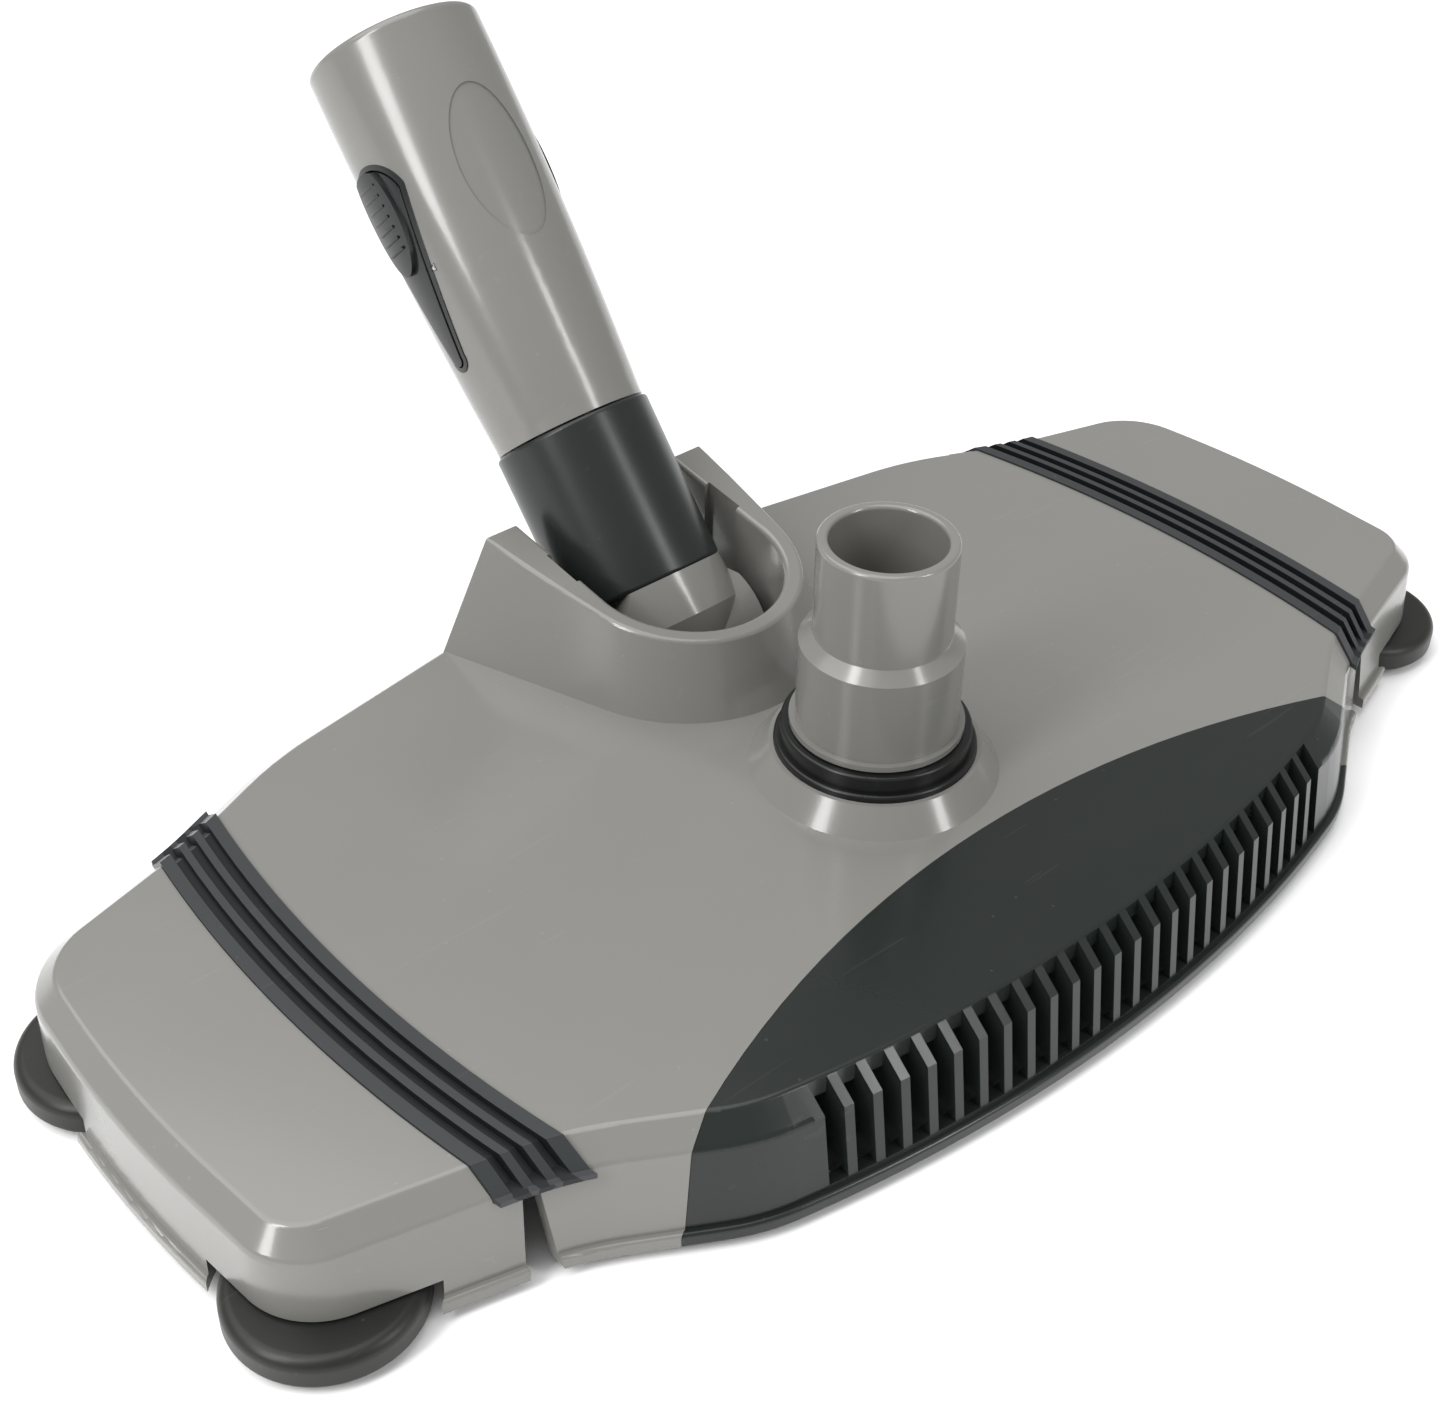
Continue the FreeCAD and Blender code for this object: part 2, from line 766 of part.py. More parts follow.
def roller_stub(x, y):
    """A shoulder screw: head, plain shoulder for the hub, and a thread up into the boss."""
    low = roller_z + stub_lift
    reach = stub_radius + stub_head
    head = cylinder(reach, low, low + stub_head_tall, x, y)
    shoulder = cylinder(stub_radius, low, arch_z, x, y)
    thread = cylinder(screw_radius, arch_z, arch_z + stub_thread, x, y)
    half = screw_slot / 2
    slot = box(x - reach, x + reach, y - half, y + half, low - past, low + stub_head_tall / 2)
    return head.fuse([shoulder, thread]).cut(slot)


# ---------------------------------------------------------------- ballast
def ballast(x, length, depth, y):
    half_x = length / 2
    half_y = depth / 2
    foot = cavity_top - ballast_tall
    block = box(x - half_x, x + half_x, y - half_y, y + half_y, foot, cavity_top)
    block = block.makeFillet(ballast_round, edges_at(block, foot))
    for step in (-1, 1):
        block = block.cut(cylinder(screw_radius + snug_gap, 0, deck_z, x, y + step * depth / 3))
    return block


def ballast_screws(x, depth, y):
    seat = cavity_top - ballast_tall
    return [screw(x, y + step * depth / 3, seat, ballast_tall + screw_bite) for step in (-1, 1)]


# ---------------------------------------------------------------- hose neck
def hose_neck():
    """The stepped hose tail, 32 mm over 38 mm, that turns in the boss."""
    cone_foot = neck_foot - cone_tall
    rim_foot = ring_top_z + rim_lift
    neck = revolve([
        (cuff_bore, neck_end),
        (cuff_radius, neck_end),
        (cuff_radius, rim_foot),
        (rim_radius, rim_foot),
        (rim_radius, rim_foot + rim_tall),
        (cuff_radius, rim_foot + rim_tall),
        (cuff_radius, cone_foot),
        (neck_radius, neck_foot),
        (neck_radius, neck_top),
        (neck_bore, neck_top),
        (neck_bore, neck_foot),
        (cuff_bore, cone_foot - cone_blend),
    ])
    low = neck_end + groove_lift
    neck = neck.cut(tube(cuff_radius + past, cuff_radius - neck_groove, low, low + retainer_tall))
    return neck.makeFillet(neck_round, edges_at(neck, neck_top))


def seal_ring():
    """A two-step rubber ring in the boss's counterbore."""
    inner = cuff_radius + ring_play
    ring = revolve([
        (inner, ring_foot_z),
        (ring_outer, ring_foot_z),
        (ring_outer, ring_step_z),
        (ring_upper, ring_step_z),
        (ring_upper, ring_top_z),
        (inner, ring_top_z),
    ])
    step = max(edges_at(ring, ring_step_z), key=lambda e: e.Curve.Radius)
    top = max(edges_at(ring, ring_top_z), key=lambda e: e.Curve.Radius)
    return ring.makeFillet(ring_round, [step, top])


def neck_retainer():
    """A split ring snapped into the neck's groove under the boss."""
    low = neck_end + groove_lift + retainer_play
    high = low + retainer_tall - 2 * retainer_play
    ring = tube(cuff_radius + retainer_out, cuff_radius - neck_groove + retainer_play, low, high)
    half = retainer_split / 2
    return ring.cut(box(-half, half, 0, far, 0, deck_z))


# ---------------------------------------------------------------- handle, laid out upright from its pivot
def tube_body(grow):
    """The pole tube's outside, grown by an amount, as a solid of revolution."""
    foot = Vector(tube_foot_radius + grow, 0, tube_foot)
    waist = Vector(tube_foot_radius + flare_out + grow, 0, tube_foot + tube_flare)
    middle = Vector(tube_mid_radius + grow, 0, tube_mid)
    shoulder = Vector(tube_end_radius + grow, 0, tube_end - tube_round)
    bend = tube_round * (1 - math.sqrt(0.5))
    corner = Vector(tube_end_radius + grow - bend, 0, tube_end - bend)
    end = Vector(tube_end_radius + grow - tube_round, 0, tube_end)
    edges = [
        Part.makeLine(Vector(0, 0, tube_foot), foot),
        Part.makeLine(foot, waist),
        Part.Arc(waist, middle, shoulder).toShape(),
        Part.Arc(shoulder, corner, end).toShape(),
        Part.makeLine(end, Vector(0, 0, tube_end)),
        Part.makeLine(Vector(0, 0, tube_end), Vector(0, 0, tube_foot)),
    ]
    return Part.Face(Part.Wire(edges)).revolve(Vector(0, 0, 0), Z_AXIS, 360)


def teardrop(grow, x0, x1):
    """The pole clip's plan, wide end up, as a prism along X."""
    big = clip_big + grow
    small = clip_small + grow
    big_z = tube_end - clip_top - clip_big
    small_z = tube_end - clip_top - clip_length + clip_small
    lean = math.asin((big - small) / (big_z - small_z))
    side_y = math.cos(lean)
    side_z = math.sin(lean)
    points = [
        Vector(x0, big * side_y, big_z + big * side_z),
        Vector(x0, small * side_y, small_z + small * side_z),
        Vector(x0, -small * side_y, small_z + small * side_z),
        Vector(x0, -big * side_y, big_z + big * side_z),
    ]
    edges = [
        Part.makeLine(points[0], points[1]),
        Part.Arc(points[1], Vector(x0, 0, small_z - small), points[2]).toShape(),
        Part.makeLine(points[2], points[3]),
        Part.Arc(points[3], Vector(x0, 0, big_z + big), points[0]).toShape(),
    ]
    return Part.Face(Part.Wire(edges)).extrude(Vector(x1 - x0, 0, 0))


def rod_x(radius, x0, x1, z, y=0):
    return Part.makeCylinder(radius, x1 - x0, Vector(x0, y, z), X_AXIS)


def rod_y(radius, half, x, z):
    return Part.makeCylinder(radius, 2 * half, Vector(x, -half, z), Y_AXIS)


def pole_tube():
    """The grey tube that takes the pole, with its clip pockets and shallow oval."""
    bore = cylinder(socket_radius, socket_foot, far)
    mouth_foot = Vector(0, 0, tube_end - mouth_flare)
    wide = 2 * mouth_flare
    mouth = Part.makeCone(socket_radius, socket_radius + wide, wide, mouth_foot, Z_AXIS)
    stem_hole = cylinder(stem_radius + snug_gap, 0, stem_end + stem_play)
    ellipse = Part.Ellipse(Vector(0, 0, 0), oval_length / 2, oval_width / 2).toShape()
    ellipse.rotate(Vector(0, 0, 0), Z_AXIS, 90)
    ellipse.rotate(Vector(0, 0, 0), X_AXIS, 90)
    ellipse.translate(Vector(0, -tube_end_radius - past, tube_end - oval_top - oval_length / 2))
    oval = Part.Face(Part.Wire([ellipse])).extrude(Vector(0, tube_end_radius, 0))
    oval = oval.cut(tube_body(-oval_deep))
    removed = [bore, mouth, stem_hole, oval]
    for mirrored in (False, True):
        pocket = teardrop(0, clip_seat, far)
        window = rod_x(window_radius, stem_radius, clip_seat + past, nib_z)
        hole = rod_y(button_pin + snug_gap, pin_hole_half, button_pin_x, button_pin_z)
        tools = [pocket, window, hole]
        removed += [mirror_x(t) for t in tools] if mirrored else tools
    return tube_body(0).cut(removed)


def clip_bezel():
    ring = teardrop(-moulded_gap / 2, clip_seat, far).cut(teardrop(-bezel_wall, 0, 2 * far))
    ring = ring.common(tube_body(bezel_proud))
    return ring.cut(rod_y(button_pin + snug_gap, pin_hole_half, button_pin_x, button_pin_z))


def clip_button():
    """The rocking button: wide thumb end, narrow end with the locking nib."""
    inset = -bezel_wall - button_gap
    plan = teardrop(inset, button_inner, far)
    plate = plan.common(tube_body(button_proud))
    pad_z = tube_end - clip_top - clip_big - pad_below
    pad = Part.Ellipse(Vector(0, 0, 0), pad_length / 2, pad_width / 2).toShape()
    pad.rotate(Vector(0, 0, 0), Y_AXIS, 90)
    pad.translate(Vector(button_inner, 0, pad_z))
    raised = Part.Face(Part.Wire([pad])).extrude(Vector(far, 0, 0))
    raised = raised.common(tube_body(button_proud + pad_proud)).common(plan)
    lug = rod_y(lug_radius, lug_half, button_pin_x, button_pin_z)
    nib = rod_x(nib_radius, socket_radius + nib_back, button_inner + past, nib_z)
    bore = rod_y(button_pin + run_gap, pin_hole_half, button_pin_x, button_pin_z)
    return plate.fuse([raised, lug, nib]).cut(bore)


def clip_pin():
    return rod_y(button_pin, button_pin_half, button_pin_x, button_pin_z)


def collar():
    """The dark sleeve between the knuckle and the tube."""
    top = tube_foot - collar_gap
    tall = top - collar_foot
    sleeve = Part.makeCone(collar_foot_radius, collar_top_radius, tall, Vector(0, 0, collar_foot))
    sleeve = sleeve.makeFillet(collar_round, edges_at(sleeve, top) + edges_at(sleeve, collar_foot))
    return sleeve.cut(cylinder(stem_radius + snug_gap, 0, far))


def knuckle():
    """A barrel round the pivot pin, flared up into a round block and a stem."""
    barrel = Part.Face(Part.makePolygon([
        Vector(-knuckle_half, 0, 0),
        Vector(-knuckle_half, 0, barrel_end_radius),
        Vector(-barrel_flat, 0, barrel_radius),
        Vector(barrel_flat, 0, barrel_radius),
        Vector(knuckle_half, 0, barrel_end_radius),
        Vector(knuckle_half, 0, 0),
        Vector(-knuckle_half, 0, 0),
    ])).revolve(Vector(0, 0, 0), X_AXIS, 360)
    block = revolve([
        (0, knuckle_low),
        (knuckle_foot, knuckle_low),
        (knuckle_radius, knuckle_bend),
        (knuckle_radius, collar_foot),
        (0, collar_foot),
    ])
    body = barrel.fuse(block).common(box(-far, far, -far, far, -far, collar_foot))
    facets = []
    for side in (-1, 1):
        points = [
            Vector(side * knuckle_waist, -far, collar_foot),
            Vector(side * knuckle_half, -far, facet_foot),
            Vector(side * far, -far, facet_foot),
            Vector(side * far, -far, collar_foot),
        ]
        facets.append(Part.Face(Part.makePolygon(points + points[:1])).extrude(Vector(0, 2 * far, 0)))
    stem = cylinder(stem_radius, collar_foot - stem_root, stem_end)
    bore = rod_x(pin_radius + run_gap, -far, far, 0)
    return body.cut(facets).fuse(stem).cut(bore)


def pivot_pin():
    return rod_x(pin_radius, -pin_half, pin_half, 0)


def pin_clips():
    """Spring clips in grooves at the pin's ends, outside the well's bosses."""
    clips = []
    for side in (-1, 1):
        near = pin_boss_out + clip_play
        start = near if side > 0 else -near - clip_tall
        ring = rod_x(clip_wide, start, start + clip_tall, 0)
        ring = ring.cut(rod_x(pin_radius + snug_gap, -far, far, 0))
        clips.append(ring.cut(box(-far, far, -clip_slot / 2, clip_slot / 2, -far, 0)))
    return clips


def pin_bushes():
    """Spacers on the pin that centre the knuckle between the well's walls."""
    bushes = []
    for side in (-1, 1):
        near = knuckle_half + side_play
        length = well_half - bush_gap - near
        start = near if side > 0 else -near - length
        ring = rod_x(bush_radius, start, start + length, 0)
        bushes.append(ring.cut(rod_x(pin_radius + snug_gap, -far, far, 0)))
    return bushes


def stand_on_pivot(shape, tilted):
    """Carry a handle piece from its own upright frame to its place on the head."""
    if tilted:
        shape.rotate(Vector(0, 0, 0), X_AXIS, -rest_tilt)
    shape.translate(Vector(0, pivot_y, pivot_z))
    return shape


# ---------------------------------------------------------------- the nodes
nodes["hose_neck"] = hose_neck()
nodes["seal_ring"] = seal_ring()
nodes["neck_retainer"] = neck_retainer()

panel_seat = cavity_top - flange_wall
panel_holes = [screw_hole(x, y) for x, y in panel_screw_places()]
nodes["grille_panel"] = biggest(grille_panel().cut(panel_holes))
panel_screws = [screw(x, y, panel_seat, flange_wall + screw_bite) for x, y in panel_screw_places()]
nodes["panel_screws"] = compound(panel_screws)

centre_holes = list(panel_holes)
centre_fork_screws = []
centre_axles = []
centre_ballast_screws = []
for side, side_name in ((-1, "left"), (1, "right")):
    x = side * ballast_x
    nodes[side_name + "_ballast"] = ballast(x, ballast_length, ballast_depth, ballast_y)
    centre_ballast_screws += ballast_screws(x, ballast_depth, ballast_y)
    for step in (-1, 1):
        centre_holes.append(screw_hole(x, ballast_y + step * ballast_depth / 3))
    for y, end_name in ((centre_wheel_front_y, "front"), (centre_wheel_rear_y, "rear")):
        wheel_x = side * centre_wheel_x
        name = side_name + "_" + end_name
        nodes[name + "_fork"] = fork(wheel_x, y)
        nodes[name + "_floor_wheel"] = floor_wheel(wheel_x, y)
        centre_axles.append(axle(wheel_x, y))
        centre_fork_screws += fork_screws(wheel_x, y)
        for step in (-1, 1):
            centre_holes.append(screw_hole(wheel_x, y + step * fork_screw_y))
nodes["centre_shell"] = centre_shell.cut(centre_holes)
nodes["centre_ballast_screws"] = compound(centre_ballast_screws)
nodes["centre_fork_screws"] = compound(centre_fork_screws)
nodes["centre_axles"] = compound(centre_axles)

for side, side_name, wing in ((-1, "left", left_wing), (1, "right", right_wing)):
    wheel_x = side * wing_wheel_x
    block_x = side * wing_ballast_x
    holes = []
    for step in (-1, 1):
        holes.append(screw_hole(wheel_x, wing_wheel_y + step * fork_screw_y))
        holes.append(screw_hole(block_x, ballast_y + step * wing_ballast_depth / 3))
    nodes[side_name + "_wing_shell"] = wing.cut(holes)
    nodes[side_name + "_flex_strip"] = flex_strip(side)
    block = ballast(block_x, wing_ballast_length, wing_ballast_depth, ballast_y)
    nodes[side_name + "_wing_ballast"] = block
    nodes[side_name + "_wing_fork"] = fork(wheel_x, wing_wheel_y)
    nodes[side_name + "_wing_floor_wheel"] = floor_wheel(wheel_x, wing_wheel_y)
    nodes[side_name + "_wing_axle"] = axle(wheel_x, wing_wheel_y)
    screws = fork_screws(wheel_x, wing_wheel_y) + ballast_screws(block_x, wing_ballast_depth, ballast_y)
    nodes[side_name + "_wing_screws"] = compound(screws)
    stubs = []
    for y, end_name in ((roller_front_y, "front"), (roller_rear_y, "rear")):
        name = side_name + "_" + end_name
        nodes[name + "_roller_tyre"] = roller_tyre(side * roller_x, y)
        nodes[name + "_roller_hub"] = roller_hub(side * roller_x, y)
        stubs.append(roller_stub(side * roller_x, y))
    nodes[side_name + "_roller_screws"] = compound(stubs)

nodes["pivot_pin"] = stand_on_pivot(pivot_pin(), False)
nodes["pin_clips"] = stand_on_pivot(compound(pin_clips()), False)
nodes["pin_bushes"] = stand_on_pivot(compound(pin_bushes()), False)
nodes["knuckle"] = stand_on_pivot(knuckle(), True)
nodes["handle_collar"] = stand_on_pivot(collar(), True)
nodes["handle_tube"] = stand_on_pivot(pole_tube(), True)
nodes["right_clip_bezel"] = stand_on_pivot(clip_bezel(), True)
nodes["left_clip_bezel"] = stand_on_pivot(mirror_x(clip_bezel()), True)
nodes["right_clip_button"] = stand_on_pivot(clip_button(), True)
nodes["left_clip_button"] = stand_on_pivot(mirror_x(clip_button()), True)
nodes["clip_pins"] = stand_on_pivot(compound([clip_pin(), mirror_x(clip_pin())]), True)

# ------------------------------------------------ the frame: the box's own centre, on the floor
tilt = math.radians(rest_tilt)
bow_half_turn = math.atan(front_fall / flank_x)
front_end = -front_reach + front_bow * (1 / math.cos(bow_half_turn) - 1) - hem_out
rear_end = pivot_y + (tube_end - tube_round) * math.sin(tilt)
rear_end += (tube_end_radius - tube_round) * math.cos(tilt) + tube_round
centre_y = (front_end + rear_end) / 2

for name, shape in nodes.items():
    shape.translate(Vector(0, -centre_y, 0))
    shape.exportStep("parts/" + name + ".step")
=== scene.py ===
import json
import math

import bmesh
import bpy
from mathutils import Matrix, Vector


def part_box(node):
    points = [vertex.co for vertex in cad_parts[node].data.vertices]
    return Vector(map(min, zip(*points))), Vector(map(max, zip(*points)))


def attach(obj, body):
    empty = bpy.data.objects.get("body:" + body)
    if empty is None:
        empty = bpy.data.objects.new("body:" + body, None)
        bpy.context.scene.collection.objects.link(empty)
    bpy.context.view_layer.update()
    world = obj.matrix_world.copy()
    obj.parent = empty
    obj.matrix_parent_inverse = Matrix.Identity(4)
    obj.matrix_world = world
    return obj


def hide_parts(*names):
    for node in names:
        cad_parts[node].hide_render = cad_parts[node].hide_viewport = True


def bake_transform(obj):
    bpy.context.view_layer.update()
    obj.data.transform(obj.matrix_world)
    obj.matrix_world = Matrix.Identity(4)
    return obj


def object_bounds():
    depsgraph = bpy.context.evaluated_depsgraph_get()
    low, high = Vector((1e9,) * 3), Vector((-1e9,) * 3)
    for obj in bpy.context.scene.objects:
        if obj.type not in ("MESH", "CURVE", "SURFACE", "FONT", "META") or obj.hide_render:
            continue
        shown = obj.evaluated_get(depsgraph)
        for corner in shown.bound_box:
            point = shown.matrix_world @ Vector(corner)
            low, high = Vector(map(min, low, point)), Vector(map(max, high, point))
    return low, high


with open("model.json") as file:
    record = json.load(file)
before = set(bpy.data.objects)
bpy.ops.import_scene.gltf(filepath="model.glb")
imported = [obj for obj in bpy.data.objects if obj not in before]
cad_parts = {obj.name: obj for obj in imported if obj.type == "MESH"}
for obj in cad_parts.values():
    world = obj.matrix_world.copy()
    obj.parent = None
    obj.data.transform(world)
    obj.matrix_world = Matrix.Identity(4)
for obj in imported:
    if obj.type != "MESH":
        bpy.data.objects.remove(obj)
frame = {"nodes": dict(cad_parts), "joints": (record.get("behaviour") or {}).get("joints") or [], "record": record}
cad_low, cad_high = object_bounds()
nodes = frame["nodes"]
scene = bpy.context.scene

# ------------------------------------------------------------------------------------------
# Studio: the head stands on a seamless pale sweep. A broad ceiling light covers everything,
# and two soft boxes low on either side of the camera draw the highlights on the plastic.
SWEEP_SIZE = 8.0
SWEEP_COLOUR = (0.95, 0.95, 0.95, 1.0)
CAMERA_PLACE = Vector((-0.28845, -0.31830, 0.33570))
CAMERA_AZIMUTH = -43.18
CAMERA_ELEVATION = 35.74
CAMERA_ROLL = 1.32
CAMERA_LENS = 52.30
CAMERA_SHIFT = (-0.011675, -0.0280)
ROOM_LIGHT = 0.46
CEILING_LIGHT = 2.40
CEILING_SPREAD = 70.0
CEILING_PLACE = (-0.2, 0.35, 1.2)
LEFT_BOX = {"place": (-0.84, -0.04, 0.62), "size": (0.21, 0.75), "energy": 6.4}
RIGHT_BOX = {"place": (0.30, -0.92, 0.55), "size": (0.15, 0.70), "energy": 4.0}
HEAD_CENTRE = (cad_low + cad_high) / 2


def studio_sweep():
    half = SWEEP_SIZE / 2
    mesh = bpy.data.meshes.new("sweep")
    ring = [(-half, -half, 0), (half, -half, 0), (half, half, 0), (-half, half, 0)]
    mesh.from_pydata(ring, [], [(0, 1, 2, 3)])
    sweep = bpy.data.objects.new("sweep", mesh)
    scene.collection.objects.link(sweep)
    paper = bpy.data.materials.new("pale_paper")
    paper.use_nodes = True
    shader = paper.node_tree.nodes["Principled BSDF"]
    shader.inputs["Base Color"].default_value = SWEEP_COLOUR
    shader.inputs["Roughness"].default_value = 0.9
    shader.inputs["Specular IOR Level"].default_value = 0.0
    mesh.materials.append(paper)


def studio_camera():
    azimuth = math.radians(CAMERA_AZIMUTH)
    elevation = math.radians(CAMERA_ELEVATION)
    roll = math.radians(CAMERA_ROLL)
    flat = math.cos(elevation)
    back = Vector((math.sin(azimuth) * flat, -math.cos(azimuth) * flat, math.sin(elevation)))
    level = Vector((math.cos(azimuth), math.sin(azimuth), 0))
    rise = back.cross(level)
    right = level * math.cos(roll) + rise * math.sin(roll)
    up = rise * math.cos(roll) - level * math.sin(roll)
    data = bpy.data.cameras.new("camera")
    data.lens = CAMERA_LENS
    data.sensor_width = 36.0
    data.shift_x, data.shift_y = CAMERA_SHIFT
    data.clip_start = 0.01
    camera = bpy.data.objects.new("camera", data)
    turn = Matrix((right, up, back)).transposed()
    camera.matrix_world = Matrix.Translation(CAMERA_PLACE) @ turn.to_4x4()
    scene.collection.objects.link(camera)
    scene.camera = camera


def light(name, kind, place, energy):
    """A light at a place beside the head's middle, aimed at it."""
    data = bpy.data.lights.new(name, kind)
    data.energy = energy
    lamp = bpy.data.objects.new(name, data)
    lamp.location = HEAD_CENTRE + Vector(place)
    lamp.rotation_mode = "QUATERNION"
    lamp.rotation_quaternion = (-Vector(place)).to_track_quat("-Z", "Y")
    scene.collection.objects.link(lamp)
    return data


def soft_box(name, place, size, energy):
    data = light(name, "AREA", place, energy)
    data.shape = "RECTANGLE"
    data.size, data.size_y = size


studio_sweep()
studio_camera()
ceiling = light("ceiling", "SUN", CEILING_PLACE, CEILING_LIGHT)
ceiling.angle = math.radians(CEILING_SPREAD)
soft_box("left_box", **LEFT_BOX)
soft_box("right_box", **RIGHT_BOX)
room = bpy.data.worlds.new("room")
room.use_nodes = True
room.node_tree.nodes["Background"].inputs["Color"].default_value = (1, 1, 1, 1)
room.node_tree.nodes["Background"].inputs["Strength"].default_value = ROOM_LIGHT
scene.world = room
scene.view_settings.view_transform = "Standard"

# ------------------------------------------------------------------------------------------
# Grey shell mouldings: centre shell, both wings, hose neck, knuckle and pole tube, injection
# moulded in the same warm grey ABS from polished tools, so they shine softly. They carry a
# faint orange peel, slow changes of tone, rubbed patches and hairline scratches from use.
GREY = (0.174, 0.172, 0.160)
GREY_ROUGHNESS = 0.21
CLOUD_SCALE = 9.0
RUB_SCALE = 34.0
SPECK_SCALE = 170.0
SPECK_SIZE = 0.06
SPECK_PICK = 0.55
SCRATCH_TURN = (0.3, 0.5, 0.7)
SCRATCH_STRETCH = (28.0, 620.0, 300.0)
SCRATCH_PICK = 0.74
SCRATCH_SHARE = 0.35
DUST_GAIN = 1.35
DUST_LIFT = 0.03
FINE_PEEL = (1100.0, 6e-6)
COAT_ROUGHNESS = 0.10
NODE_STEP = 180
MIX_A, MIX_B, MIX_RESULT = 6, 7, 2  # a Mix node's colour sockets
GREY_NODES = (
    "centre_shell", "left_wing_shell", "right_wing_shell", "hose_neck", "knuckle", "handle_tube",
)


def group_of(name, sockets):
    """An empty shader group with the named inputs and outputs."""
    group = bpy.data.node_groups.new(name, "ShaderNodeTree")
    for way, kind, label in sockets:
        socket = "NodeSocketColor" if kind == "colour" else "NodeSocketFloat"
        group.interface.new_socket(label, in_out=way, socket_type=socket)
    return group


def add_node(tree, kind, across, down, operation=None, **values):
    node = tree.nodes.new(kind)
    node.location = (across * NODE_STEP, -down * NODE_STEP)
    if operation:
        node.operation = operation
    for name, value in values.items():
        node.inputs[name].default_value = value
    return node


def math_node(tree, operation, across, down, first, second, third=None):
    """A Math node whose inputs are sockets to link or plain numbers."""
    node = add_node(tree, "ShaderNodeMath", across, down, operation)
    for index, value in enumerate((first, second, third)):
        if isinstance(value, bpy.types.NodeSocket):
            tree.links.new(value, node.inputs[index])
        elif value is not None:
            node.inputs[index].default_value = value
    return node.outputs[0]


def moulded_skin():
    """Tone clouds, rubbed patches and orange peel, for any moulded plastic or rubber."""
    group = group_of("moulded_skin", (
        ("INPUT", "colour", "Colour"),
        ("INPUT", "value", "Tone spread"),
        ("INPUT", "value", "Roughness middle"),
        ("INPUT", "value", "Roughness spread"),
        ("INPUT", "value", "Peel scale"),
        ("OUTPUT", "colour", "Colour"),
        ("OUTPUT", "value", "Roughness"),
        ("OUTPUT", "value", "Height"),
    ))
    given = add_node(group, "NodeGroupInput", 0, 0).outputs
    out = add_node(group, "NodeGroupOutput", 6, 0).inputs
    where = add_node(group, "ShaderNodeTexCoord", 0, 3).outputs["Object"]
    clouds = add_node(group, "ShaderNodeTexNoise", 1, 0, Scale=CLOUD_SCALE, Detail=3.0)
    rubs = add_node(
        group, "ShaderNodeTexNoise", 1, 2, Scale=RUB_SCALE, Detail=6.0, Roughness=0.6
    )
    peel = add_node(group, "ShaderNodeTexNoise", 1, 4, Detail=2.0)
    for texture in (clouds, rubs, peel):
        group.links.new(where, texture.inputs["Vector"])
    group.links.new(given["Peel scale"], peel.inputs["Scale"])
    cloud = math_node(group, "SUBTRACT", 2, 0, clouds.outputs["Fac"], 0.5)
    tone = math_node(group, "MULTIPLY_ADD", 3, 0, cloud, given["Tone spread"], 1.0)
    tint = add_node(group, "ShaderNodeVectorMath", 4, 0, "SCALE")
    group.links.new(given["Colour"], tint.inputs[0])
    group.links.new(tone, tint.inputs["Scale"])
    rub = math_node(group, "SUBTRACT", 2, 2, rubs.outputs["Fac"], 0.5)
    spread = given["Roughness spread"]
    rough = math_node(group, "MULTIPLY_ADD", 3, 2, rub, spread, given["Roughness middle"])
    group.links.new(tint.outputs[0], out["Colour"])
    group.links.new(rough, out["Roughness"])
    group.links.new(peel.outputs["Fac"], out["Height"])
    return group


def handling_marks():
    """Sparse pale dust specks and fine scratches, as a mask from 0 to 1."""
    group = group_of("handling_marks", (
        ("INPUT", "value", "Speck scale"),
        ("INPUT", "value", "Speck size"),
        ("INPUT", "value", "Scratch share"),
        ("OUTPUT", "value", "Mask"),
    ))
    given = add_node(group, "NodeGroupInput", 0, 0).outputs
    out = add_node(group, "NodeGroupOutput", 6, 0).inputs
    where = add_node(group, "ShaderNodeTexCoord", 0, 2).outputs["Object"]
    specks = add_node(group, "ShaderNodeTexVoronoi", 1, 0, Randomness=1.0)
    group.links.new(where, specks.inputs["Vector"])
    group.links.new(given["Speck scale"], specks.inputs["Scale"])
    near = math_node(group, "LESS_THAN", 2, 0, specks.outputs["Distance"], given["Speck size"])
    pick = math_node(group, "GREATER_THAN", 2, 1, specks.outputs["Color"], SPECK_PICK)
    dots = math_node(group, "MULTIPLY", 3, 0, near, pick)
    turned = add_node(group, "ShaderNodeMapping", 1, 2)
    turned.inputs["Rotation"].default_value = SCRATCH_TURN
    turned.inputs["Scale"].default_value = SCRATCH_STRETCH
    lines = add_node(group, "ShaderNodeTexNoise", 2, 2, Scale=1.0, Detail=1.0)
    group.links.new(where, turned.inputs["Vector"])
    group.links.new(turned.outputs[0], lines.inputs["Vector"])
    hair = math_node(group, "GREATER_THAN", 3, 2, lines.outputs["Fac"], SCRATCH_PICK)
    worn = math_node(group, "MULTIPLY", 4, 2, hair, given["Scratch share"])
    group.links.new(math_node(group, "MAXIMUM", 5, 0, dots, worn), out["Mask"])
    return group


SKIN = moulded_skin()
MARKS = handling_marks()


